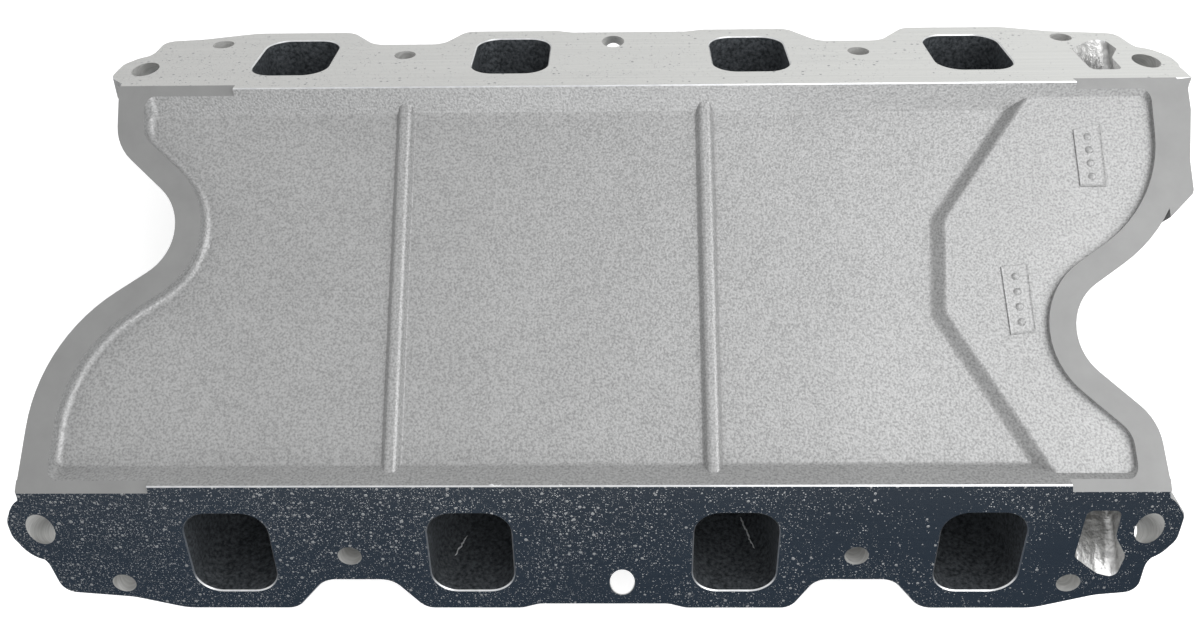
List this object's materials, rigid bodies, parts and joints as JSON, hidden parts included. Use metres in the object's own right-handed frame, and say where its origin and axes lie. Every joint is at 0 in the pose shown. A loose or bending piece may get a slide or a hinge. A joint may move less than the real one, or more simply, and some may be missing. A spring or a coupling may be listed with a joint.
{
  "type": "intake manifold",
  "caption": "Cast aluminium intake manifold for a 90 degree V8, seen from its valley side, with head flanges, ported runners, a plenum and a coolant crossover.",
  "frame": {"origin": "centre of the carburettor pad's face, which is also the bottom centre of the bounding box; the part lies upside down on that pad, as it would on a bench", "axes": "+X along the crankshaft to the front of the engine, where the coolant crossover is; +Z out of the valley side, towards the block, so an installed manifold is turned half a turn about X; +Y to the right bank"},
  "size_m": [0.6044, 0.323, 0.1276],
  "materials": {
    "cast_aluminium": "satin",
    "plug_steel": "satin",
    "insert_steel": "satin",
    "brass_fitting": "satin"
  },
  "bodies": {
    "root": {"left_head_flange": "cast_aluminium", "right_head_flange": "cast_aluminium", "valley_tray": "cast_aluminium", "carburettor_plenum": "cast_aluminium", "coolant_crossover": "cast_aluminium", "left_runner_1": "cast_aluminium", "left_runner_2": "cast_aluminium", "left_runner_3": "cast_aluminium", "left_runner_4": "cast_aluminium", "right_runner_1": "cast_aluminium", "right_runner_2": "cast_aluminium", "right_runner_3": "cast_aluminium", "right_runner_4": "cast_aluminium", "heater_hose_nipple": "brass_fitting", "vacuum_port_plug_front": "plug_steel", "vacuum_port_plug_rear": "plug_steel", "pcv_port_plug": "plug_steel", "brake_port_plug": "plug_steel", "bypass_port_plug": "plug_steel", "temperature_port_plug": "plug_steel", "carb_insert_square_front_left": "insert_steel", "carb_insert_square_front_right": "insert_steel", "carb_insert_square_rear_left": "insert_steel", "carb_insert_square_rear_right": "insert_steel", "carb_insert_spread_front_left": "insert_steel", "carb_insert_spread_front_right": "insert_steel", "carb_insert_spread_rear_left": "insert_steel", "carb_insert_spread_rear_right": "insert_steel", "thermostat_insert_left": "insert_steel", "thermostat_insert_right": "insert_steel", "bracket_insert_front": "insert_steel", "bracket_insert_rear": "insert_steel"}
  },
  "joints": []
}
